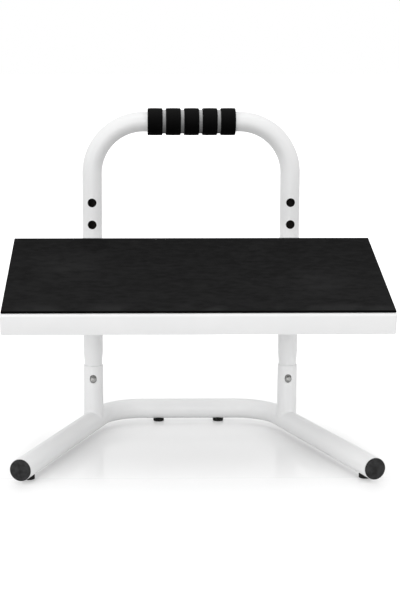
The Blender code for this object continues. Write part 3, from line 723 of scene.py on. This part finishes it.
def cap_profile():
    """A domed flange with a hollow plug behind it, its face at height 0."""
    flat = CAP_R - CAP_EDGE
    dome = [(flat * i / DOME_STEPS, -CAP_DOME * (i / DOME_STEPS) ** 2) for i in range(DOME_STEPS)]
    rim = arc((flat, -CAP_DOME - CAP_EDGE), math.pi / 2, 0, CAP_EDGE, steps=6)
    plug = BASE_R - BASE_WALL - GAP
    end = -(CAP_FLANGE + CAP_PLUG_LENGTH)
    inside = plug - CAP_PLUG_WALL
    return dome + rim + [(CAP_R, -CAP_FLANGE), (plug, -CAP_FLANGE), (plug, end), (inside, end),
                         (inside, -CAP_FLANGE), (0, -CAP_FLANGE)]


for side_name, side in SIDES:
    outward = Matrix.Rotation(side * LEG_SPREAD, 4, "Z") @ TO_FRONT
    cap = moved(turned(cap_profile()), leg_point(0, side), outward)
    piece(side_name + "_end_cap", cap, "stand", *PLASTIC)

# %% [markdown]
# The pads are small rubber discs, hollowed to the tube's round on top and recessed below for a screw.

# %% Pads and their screws
PAD_EDGE = 0.0006
PAD_RECESS = 0.0026
RECESS_R = 0.0038
CROSS_ARM = (0.0042, 0.0009)
CROSS_DEPTH = 0.0009


def pad_profile(radius):
    """A pad that runs up to the tube's axis, for the tube to cut it."""
    edge = arc((radius - PAD_EDGE, PAD_EDGE), 0, -math.pi / 2, PAD_EDGE, steps=5)
    return [(radius, BASE_Z)] + edge + [(RECESS_R, 0), (RECESS_R, PAD_RECESS), (SCREW_HOLE_R, PAD_RECESS),
                                        (SCREW_HOLE_R, BASE_Z)]


def screw_profile(low, high, head, shank):
    """A pan-head screw, from its head below to its point above."""
    rounded = arc((head - PAD_EDGE, low + PAD_EDGE), -math.pi / 2, 0, PAD_EDGE, steps=4)
    return [(0, low)] + rounded + [(head, PAD_RECESS - GAP), (shank, PAD_RECESS - GAP),
                                   (shank, high - shank), (0, high)]


for pad in PAD_NODES:
    place = (*middle(pad).xy, 0)
    disc = carved(moved(turned(pad_profile(extent(pad).x / 2)), place), [base_bar(GAP)])
    piece(pad, disc, "stand", "pad_rubber", pad_rubber)
    low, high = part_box(pad + "_screw")
    head = extent(pad + "_screw").x / 2
    screw = moved(turned(screw_profile(low.z, high.z, head, SCREW_HOLE_R - GAP), sides=36), place)
    arms = [moved(meshed(block((*arm, 2 * CROSS_DEPTH))), (place[0], place[1], low.z))
            for arm in (CROSS_ARM, CROSS_ARM[::-1])]
    piece(pad + "_screw", carved(screw, arms), "stand", *ZINC)

# %% [markdown]
# The handle frame is one long tube: up from a post, round a bend, across under the grip, round the other
# bend and down. Its ends are swaged thinner, so that they slip into the posts, and a smooth cone leads
# from one diameter to the other. Its holes go through the front wall only, and show the dark bore.

# %% Handle frame
HOLE_R = 0.0060
HOLE_PITCH = 0.0300
HOLE_COUNT = 4
CONE_STEPS = 12


def handle_line():
    """The handle tube's axis and its radius at each point, from foot to foot."""
    centre = (POST_X - HANDLE_BEND_R, HANDLE_TOP - HANDLE_BEND_R)
    half = [((POST_X, HANDLE_FOOT), INSERT_R), ((POST_X, POST_TOP - GAP), INSERT_R)]
    for i in range(1, CONE_STEPS + 1):
        share = i / CONE_STEPS
        eased = share * share * (3 - 2 * share)
        radius = INSERT_R + (TUBE_R - INSERT_R) * eased
        half.append(((POST_X, POST_TOP + CONE_LENGTH * share), radius))
    half += [(point, TUBE_R) for point in arc(centre, 0, math.pi / 2, HANDLE_BEND_R)]
    right = [(Vector((x, POST_Y, z)), r) for (x, z), r in half]
    left = [(Vector((-p.x, p.y, p.z)), r) for p, r in right]
    return zip(*(left + right[::-1]))


handle_shell = walled(swept(*handle_line()), HANDLE_WALL)
holes = []
for _, side in SIDES:
    for i in range(HOLE_COUNT):
        spot = (side * POST_X, POST_Y - TUBE_R, SEAT_Z + HOLE_PITCH * i)
        holes.append(moved(rod(HOLE_R, TUBE_R), spot, TO_FRONT))
    holes.append(button_slot(side))
handle = piece("handle_frame", carved(handle_shell, holes), "stand", "white_powder_coat")
print("handle faces", len(handle.data.polygons))

# %% [markdown]
# The grip is a sleeve of grey foam with five black foam rings on it. Foam has no sharp edges, so each ring
# swells a little in the middle and rolls over at its ends.

# %% Foam grip
RING_COUNT = 5
RING_ROUND = 0.0012
RING_CROWN = 0.00020
CORE_ROUND = 0.0010
CROWN_STEPS = 12


def foam_profile(outer, bore, length, edge, crown):
    """A foam ring's profile: a crowned face, rolled ends and a straight bore."""
    half = length / 2
    flat = half - edge
    rim = outer - crown
    top = arc((rim - edge, flat), math.pi / 2, 0, edge, steps=8)
    face = []
    for i in range(1, CROWN_STEPS):
        height = flat - 2 * flat * i / CROWN_STEPS
        face.append((rim + crown * (1 - (height / flat) ** 2), height))
    low = [(r, -z) for r, z in reversed(top)]
    return top + face + low + [(bore, -half), (bore, half)]


def foam_piece(node, edge, crown, bore, slot, material):
    """A foam ring or sleeve in the place of its CAD node."""
    size = extent(node)
    profile = foam_profile(size.z / 2, bore, size.x, edge, crown)
    mesh = moved(turned(profile), middle(node), TO_SIDE)
    piece(node, mesh, "stand", slot, material)


CORE_R = extent("grip_core").z / 2
foam_piece("grip_core", CORE_ROUND, 0.0, TUBE_R + GAP, "grip_foam_grey", grey_foam)
for i in range(RING_COUNT):
    foam_piece(f"grip_ring_{i + 1}", RING_ROUND, RING_CROWN, CORE_R + GAP, "grip_foam_black", black_foam)
print("grip rings", RING_COUNT)

# %% [markdown]
# A snap button is a small plated dome, pushed out through the post's oval hole by a bent strip of blackened
# spring steel inside the tube. Only the dome's face is rubbed to a satin grey, so the faces behind it get a
# second, dark material.

# %% Snap buttons and springs
BUTTON_R = 0.0041
BUTTON_PROUD = 0.0020
BUTTON_DOME = 0.0020
BUTTON_FLANGE = 0.0010
BUTTON_FLANGE_T = 0.0008
FACE_EDGE = -0.0004
BUTTON_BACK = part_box("right_button")[1].y - POST_Y
SPRING_BEVEL = 0.00015


def button_profile():
    """A domed button with a flange behind the tube's wall. Height 0 is the post's axis."""
    tip = TUBE_R + BUTTON_PROUD
    angles = [math.pi / 2 * i / DOME_STEPS for i in range(DOME_STEPS + 1)]
    dome = [(BUTTON_R * math.sin(a), tip - BUTTON_DOME * (1 - math.cos(a))) for a in angles]
    back = -BUTTON_BACK
    flange = BUTTON_R + BUTTON_FLANGE
    return dome + [(BUTTON_R, back + BUTTON_FLANGE_T), (flange, back + BUTTON_FLANGE_T), (flange, back),
                   (0, back)]


def refined(node, bevel):
    """A copy of a CAD node's mesh, welded, with its edges softened."""
    return softened(settled(linked(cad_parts[node].data.copy())), bevel)


for side_name, side in SIDES:
    centre = (side * POST_X, POST_Y, BUTTON_Z)
    button = turned(button_profile(), sides=ROD_SIDES)
    for face in button.polygons:
        face.material_index = int(face.center.z < TUBE_R + FACE_EDGE)
    moved(button, centre, TO_FRONT)
    piece(side_name + "_button", button, side_name + "_snap_button", "zinc_steel", button_nickel,
          spring_oxide)
    node = side_name + "_button_spring"
    spring = piece(node, refined(node, SPRING_BEVEL), "stand", "zinc_steel", spring_oxide)
    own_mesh(spring)

# %% [markdown]
# The platform is folded from sheet steel: a flat top and four skirts. Its folds have a real radius, which
# is what draws the bright line along the front edge. A box with its lower face left open is bevelled,
# and a wall is then given to it.

# %% Tray
TRAY_WIDTH = extent("platform_tray").x
TRAY_RUN = 0.2444
TRAY_DEPTH = 0.0270
TRAY_SHEET = 0.0015
TRAY_FOLD_R = 0.0030
TRAY_EDGE = 0.0003
TRAY_STANDOFF = 0.0005
TRAY_ABOVE_PIN = 0.0408
TRAY_REAR = POST_Y - SLEEVE_R - TRAY_STANDOFF - TRAY_DEPTH * math.sin(TILT)
TRAY_AXES = Matrix.Translation((0, TRAY_REAR, SEAT_Z + TRAY_ABOVE_PIN)) @ Matrix.Rotation(TILT, 4, "X")


def tray_surface():
    """The tray as an open surface: a top and four skirts, with rounded folds and corners."""
    bm = block((TRAY_WIDTH, TRAY_RUN, TRAY_DEPTH), (0, -TRAY_RUN / 2, -TRAY_DEPTH / 2))
    under = [face for face in bm.faces if face.normal.z < -0.5]
    bmesh.ops.delete(bm, geom=under, context="FACES_ONLY")
    folds = [edge for edge in bm.edges if not edge.is_boundary]
    bmesh.ops.bevel(bm, geom=folds, offset=TRAY_FOLD_R, segments=10, profile=0.5, affect="EDGES")
    return meshed(bm)


tray_mesh = softened(walled(tray_surface(), TRAY_SHEET), TRAY_EDGE)
tray_mesh.transform(TRAY_AXES)
tray = piece("platform_tray", tray_mesh, "platform", *PAINT)
print("tray size", [round(c, 4) for c in tray.dimensions])

# %% [markdown]
# The mat is a slab of rubber with softly rounded edges. A flat plate would reflect too evenly, so a fine
# grid carries a slow unevenness of under a tenth of a millimetre, as rubber sheet has.

# %% Mat
MAT_T = 0.0025
MAT_TOP = GAP + MAT_T
MAT_SIDE_INSET = 0.0010
MAT_FRONT_INSET = 0.0035
MAT_REAR_INSET = 0.0005
MAT_ROUND = 0.0006
MAT_CELL = 0.0040
WAVE_DEPTH = 0.00008
RIPPLES = ((61, 17, 0.0), (-29, 83, 1.3), (97, 53, 0.4))


def mat_slab():
    """The mat in the tray's own axes, cut into a fine grid, with rounded edges."""
    width = TRAY_WIDTH - 2 * MAT_SIDE_INSET
    run = TRAY_RUN - MAT_FRONT_INSET - MAT_REAR_INSET
    middle_y = -(MAT_REAR_INSET + run / 2)
    bm = block((width, run, MAT_T), (0, middle_y, GAP + MAT_T / 2))
    bmesh.ops.bevel(bm, geom=list(bm.edges), offset=MAT_ROUND, segments=4, profile=0.5, affect="EDGES")
    for way, start, length in (((1, 0, 0), -width / 2, width), ((0, 1, 0), middle_y - run / 2, run)):
        count = round(length / MAT_CELL)
        for i in range(1, count):
            cut = Vector(way) * (start + length * i / count)
            whole = bm.verts[:] + bm.edges[:] + bm.faces[:]
            bmesh.ops.bisect_plane(bm, geom=whole, plane_co=cut, plane_no=way)
    return meshed(bm)


def unevenness(x, y):
    """A slow wave between 0 and 1, from three crossing ripples."""
    return 0.5 + sum(math.sin(a * x + b * y + start) for a, b, start in RIPPLES) / 6


mat_mesh = mat_slab()
for vertex in mat_mesh.vertices:
    if vertex.co.z > MAT_TOP - MAT_ROUND / 10:
        vertex.co.z -= WAVE_DEPTH * unevenness(vertex.co.x, vertex.co.y)
mat_mesh.transform(TRAY_AXES)
mat = piece("rubber_mat", mat_mesh, "platform", "mat_rubber", mat_rubber)
print("mat faces", len(mat.data.polygons))

# %% [markdown]
# Behind the platform, a sleeve on each upright carries it through a bracket. The sleeve's slot drops over
# a stop pin. The sleeve is made like a post, and the slot is a round hole with a straight way down.

# %% Sleeves
SLEEVE_LOW, SLEEVE_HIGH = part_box("right_sleeve")
SLEEVE_WALL = 0.0017

for side_name, side in SIDES:
    sleeve = short_tube(side, SLEEVE_R, SLEEVE_WALL, SLEEVE_LOW.z, SLEEVE_HIGH.z)
    drop = SEAT_Z - SLEEVE_LOW.z + HOLE_R
    front = POST_Y - SLEEVE_R
    slot_top = moved(rod(HOLE_R, SLEEVE_R), (side * POST_X, front, SEAT_Z), TO_FRONT)
    slot_way = meshed(block((2 * HOLE_R, SLEEVE_R, drop), (side * POST_X, front, SEAT_Z - drop / 2)))
    piece(side_name + "_sleeve", carved(sleeve, [slot_top, slot_way]), "platform", *PAINT)

# %% [markdown]
# The brackets have the right shape in the frame already. Their meshes are copied and their edges rounded a
# little, because a laser-cut plate loses its sharpness under powder coat. Their weld beads are left as
# laid: a bar that swells once for each pulse of the torch.

# %% Brackets and bracket welds
BRACKET_EDGE = 0.0004
BEAD_PITCH = 0.0016
BEAD_SWELL = 0.10
BEAD_ROWS = 8


def bead_profile(radius, length):
    """A rippled bar with round ends, its middle at height 0."""
    half = length / 2
    rows = round(length / BEAD_PITCH * BEAD_ROWS)
    profile = [(0, half)]
    for row in range(1, rows):
        height = half - length * row / rows
        past = max(0.0, abs(height) - (half - radius))
        swell = 1 - BEAD_SWELL * (0.5 - 0.5 * math.cos(math.tau * height / BEAD_PITCH))
        profile.append((math.sqrt(radius**2 - past**2) * swell, height))
    return profile + [(0, -half)]


for side_name, _ in SIDES:
    node = side_name + "_bracket"
    piece(node, refined(node, BRACKET_EDGE), "platform", *PAINT)
    for end in ("front", "rear"):
        node = f"{side_name}_bracket_weld_{end}"
        bead = turned(bead_profile(extent(node).x / 2, extent(node).z), sides=24)
        piece(node, moved(bead, middle(node)), "platform", *PAINT)

# %% [markdown]
# Four studs hold the brackets under the tray. A thread is a ripple that climbs once in each turn, so the
# stud is a grid round a cylinder, with each point's radius set by its height and angle together. A nut is a
# hexagon cut by a turned shape, which leaves the curved chamfers on its corners that a real nut has.

# %% Studs, washers and nuts
STUD_PITCH = 0.0010
THREAD_DEPTH = 0.0005
THREAD_SIDES = 32
THREAD_ROWS = 10
STUD_R = 0.0030


def threaded(radius, length):
    """A threaded rod from height 0 down to -length."""
    rows = round(length / STUD_PITCH * THREAD_ROWS)
    rings = []
    for row in range(rows + 1):
        z = -length * row / rows
        ring = []
        for column in range(THREAD_SIDES):
            share = column / THREAD_SIDES
            climb = (z / STUD_PITCH + share) % 1.0
            r = radius - THREAD_DEPTH * abs(2 * climb - 1)
            ring.append((r * math.cos(math.tau * share), r * math.sin(math.tau * share), z))
        rings.append(ring)
    return ringed(rings, closed=False)


STUD_X = middle("right_front_stud").x
STUD_SLOPES = {"rear": 0.040, "front": 0.120}
FLANGE_TOP = TRAY_SHEET + GAP
BRACKET_T = 0.0030
STUD_LENGTH = 0.0121
STUD_BORE = STUD_R + GAP
WASHER_R = 0.00625
WASHER_T = 0.0012
WASHER_EDGE = 0.0002
NUT_ACROSS = 0.0100
NUT_H = 0.0050
NUT_CORNER_R = NUT_ACROSS / math.sqrt(3)
NUT_FACE_R = 0.97 * NUT_ACROSS / 2
NUT_CHAMFER = 0.0006
WASHER_TOP = -(BRACKET_T + GAP)
NUT_MIDDLE = WASHER_TOP - WASHER_T - GAP - NUT_H / 2


def washer():
    """A flat ring with its stamped edges rounded, below height WASHER_TOP."""
    low, rim = WASHER_TOP - WASHER_T, WASHER_R - WASHER_EDGE
    return turned([(STUD_BORE, low), (rim, low), (WASHER_R, low + WASHER_EDGE),
                   (WASHER_R, WASHER_TOP - WASHER_EDGE), (rim, WASHER_TOP), (STUD_BORE, WASHER_TOP)],
                  sides=ROD_SIDES)


def nut():
    """A hexagon nut with chamfered corners, its middle at height 0."""
    half = NUT_H / 2
    turned_blank = turned([(0, half), (NUT_FACE_R, half), (NUT_CORNER_R, half - NUT_CHAMFER),
                           (NUT_CORNER_R, NUT_CHAMFER - half), (NUT_FACE_R, -half), (0, -half)])
    hexagon = carved(rod(NUT_CORNER_R, NUT_H, sides=6), [turned_blank], "INTERSECT")
    return carved(hexagon, [rod(STUD_BORE, 2 * NUT_H, sides=32)])


for side_name, side in SIDES:
    for end, slope in STUD_SLOPES.items():
        place = TRAY_AXES @ Matrix.Translation((side * STUD_X, -slope, -FLANGE_TOP))
        kinds = {
            "stud": threaded(STUD_R, STUD_LENGTH),
            "washer": washer(),
            "nut": moved(nut(), (0, 0, NUT_MIDDLE), Matrix.Rotation(math.pi / 6, 4, "Z")),
        }
        for kind, mesh in kinds.items():
            mesh.transform(place)
            piece(f"{side_name}_{end}_{kind}", mesh, "platform", *ZINC)

# %% [markdown]
# A stop pin is a steel shank with a moulded knob on its front. Both are turned. The knob then gets its
# finger flutes by drawing in every other stretch of its rim, which needs no cutting.

# %% Stop pins and knobs
PIN_EDGE = 0.0004
PIN_TIP = 0.0015
SPIGOT_R = 0.0030
KNOB_ROUND = 0.0012
KNOB_DISH_R = 0.0060
KNOB_DISH = 0.0006
DISH_STEPS = 8
FLUTES = 16
FLUTE_DEPTH = 0.0006
KNOB_BACK = SLEEVE_R + 2 * GAP


def pin_profile(radius, front, tail):
    """A pin from its spigot's end in front to its chamfered tail. Height 0 is the post's axis."""
    shoulder = SLEEVE_R + GAP
    return [(0, front), (SPIGOT_R, front), (SPIGOT_R, shoulder), (radius - PIN_EDGE, shoulder),
            (radius, shoulder - PIN_EDGE), (radius, tail + PIN_TIP), (radius - PIN_TIP, tail), (0, tail)]


def knob_profile(rim, face, deep):
    """A knob with a dished face and a blind hole in its back."""
    bore = SPIGOT_R + GAP
    shares = [i / DISH_STEPS for i in range(DISH_STEPS + 1)]
    dish = [(KNOB_DISH_R * t, face - KNOB_DISH * (1 - t**2)) for t in shares]
    front = arc((rim - KNOB_ROUND, face - KNOB_ROUND), math.pi / 2, 0, KNOB_ROUND, steps=6)
    rear = arc((rim - KNOB_ROUND, KNOB_BACK + KNOB_ROUND), 0, -math.pi / 2, KNOB_ROUND, steps=6)
    return dish + front + rear + [(bore, KNOB_BACK), (bore, deep), (0, deep)]


def fluted(mesh, rim):
    """Draws in a turned mesh's rim in flutes."""
    for vertex in mesh.vertices:
        x, y, z = vertex.co
        radius = math.hypot(x, y)
        share = max(0.0, 1 - (rim - radius) / KNOB_ROUND)
        depth = FLUTE_DEPTH * share * (0.5 - 0.5 * math.cos(FLUTES * math.atan2(y, x)))
        if radius > 0:
            vertex.co = (x * (1 - depth / radius), y * (1 - depth / radius), z)
    return mesh


for side_name, side in SIDES:
    seat = (side * POST_X, POST_Y, SEAT_Z)
    node = side_name + "_stop_pin"
    low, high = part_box(node)
    pin = turned(pin_profile(extent(node).x / 2, POST_Y - low.y, POST_Y - high.y), sides=ROD_SIDES)
    piece(node, moved(pin, seat, TO_FRONT), side_name + "_pin", *ZINC)
    deep = POST_Y - low.y + GAP
    node = side_name + "_pin_knob"
    rim = extent(node).x / 2
    knob = fluted(turned(knob_profile(rim, POST_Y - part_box(node)[0].y, deep), sides=8 * FLUTES), rim)
    piece(node, moved(knob, seat, TO_FRONT), side_name + "_pin", *PLASTIC)
    print(node, "at", [round(c, 4) for c in seat])

# %% [markdown]
# The studio is a white floor that runs to the horizon and a white world. A white floor in plain light
# is a little grey, so it is given a glow that only the camera sees, and the object isn't lit by it. The
# floor's own gloss gives the soft reflections under the posts, and it turns matt towards the front.

# %% Floor and its gloss
FLOOR_SIZE = 60.0
MATTING = (-0.12, -0.19)
FLOOR_ROUGHNESS = (0.12, 0.60)

floor_grid = bmesh.new()
bmesh.ops.create_grid(floor_grid, x_segments=1, y_segments=1, size=FLOOR_SIZE / 2)
floor = linked(meshed(floor_grid), "studio_floor")

floor_material, tree, shader, place = new_finish("studio_floor")
floor.data.materials.append(floor_material)
spot = add_node(tree, "SeparateXYZ", vector=place).outputs
feed(tree, shader.inputs["Roughness"], ramp(tree, spot["Y"], MATTING, FLOOR_ROUGHNESS))
print("floor width", floor.dimensions.x)

# %% [markdown]
# The glow is weak between the legs, which paints the shadow there deeper, and stronger further out and
# outside the splayed legs' lines, which paints out the legs' shadows there as painted light. Well away from
# the object the floor itself is darker, so that it throws less light up, and the glow makes up for that too.

# %% Glow of the floor, with painted shadow and painted light
TOP_UP = (0.05, 0.19)
TOP_UP_REACH = 0.24
TOP_UP_CENTRE = (0.0, -0.04, 0.0)
TOP_UP_STRETCH = (1 / 0.55, 1.0, 1.0)
TOP_UP_OUTSIDE = 0.12
LEG_LINE = (0.215, 0.250)
LEG_SPLAY = 0.19
FLOOR_NEAR, FLOOR_AWAY = 0.86, 0.45
AWAY_SPAN = (0.35, 0.90)


def seen_by_camera(tree):
    """1 for rays from the camera, straight, mirrored or through glass, and 0 for all others."""
    path = tree.nodes.new("ShaderNodeLightPath").outputs
    seen = math_node(tree, "MAXIMUM", path["Is Camera Ray"], path["Is Glossy Ray"])
    return math_node(tree, "MAXIMUM", seen, path["Is Transmission Ray"])


centred = add_node(tree, "Mapping", vector_type="TEXTURE", vector=place, scale=TOP_UP_STRETCH)
centred.inputs["Location"].default_value = TOP_UP_CENTRE
near = add_node(tree, "VectorMath", operation="LENGTH", vector=centred.outputs["Vector"])
# Painted shadow: the glow is weakest near the middle, so the floor there is darker than the lamps make it.
top_up = ramp(tree, near.outputs["Value"], (0.0, TOP_UP_REACH), TOP_UP, smooth=True)
aside = math_node(tree, "ABSOLUTE", spot["X"])
aside = math_node(tree, "ADD", aside, math_node(tree, "MULTIPLY", spot["Y"], LEG_SPLAY))
# Painted light: more glow outside the legs' lines takes out their shadows.
outside = ramp(tree, aside, LEG_LINE, (0.0, TOP_UP_OUTSIDE), smooth=True)
added = math_node(tree, "ADD", top_up, outside)

far = add_node(tree, "VectorMath", operation="LENGTH", vector=place)
far_off = ramp(tree, far.outputs["Value"], AWAY_SPAN, smooth=True)
feed(tree, shader.inputs["Base Color"], blend(tree, far_off, FLOOR_NEAR, FLOOR_AWAY))
made_up = math_node(tree, "MULTIPLY", far_off, FLOOR_NEAR - FLOOR_AWAY)
added = math_node(tree, "ADD", added, made_up)

glow = add_node(tree, "Emission", strength=math_node(tree, "MULTIPLY", seen_by_camera(tree), added))
both = tree.nodes.new("ShaderNodeAddShader")
feed(tree, both.inputs[0], shader.outputs["BSDF"])
feed(tree, both.inputs[1], glow.outputs["Emission"])
feed(tree, tree.nodes["Material Output"].inputs["Surface"], both.outputs["Shader"])
print("floor tree nodes", len(tree.nodes))

# %% [markdown]
# The world gives even light from all round, at a plain level, and shows as pure white. Four broad soft
# lamps add to it, each with its direction, its spread in degrees and its power. One overhead brightens
# what faces up, one in front fills the faces towards the camera, and the sides have a weaker one each.

# %% World and lamps
WORLD_LIGHT = 0.88
LAMPS = {
    "overhead_lamp": ((-0.15, -0.36, 1.0), 40.0, 0.38),
    "front_lamp": ((-0.18, -1.0, 0.19), 26.0, 0.70),
    "left_lamp": ((-1.0, -0.45, 0.35), 35.0, 0.24),
    "right_lamp": ((1.0, -0.55, 0.30), 35.0, 0.16),
}

world = bpy.data.worlds.new("studio_world")
bpy.context.scene.world = world
world.use_nodes = True
tree = world.node_tree
extra = math_node(tree, "MULTIPLY", seen_by_camera(tree), 1.0 - WORLD_LIGHT)
background = tree.nodes["Background"].inputs
feed(tree, background["Strength"], math_node(tree, "ADD", extra, WORLD_LIGHT))
background["Color"].default_value = (1.0, 1.0, 1.0, 1.0)

for name, (source, spread, power) in LAMPS.items():
    data = bpy.data.lights.new(name, "SUN")
    data.angle = math.radians(spread)
    data.energy = power
    linked(data, name).rotation_euler = Vector(source).to_track_quat("Z", "Y").to_euler()
bpy.context.scene.view_settings.view_transform = "Standard"
print("lamps", list(LAMPS))
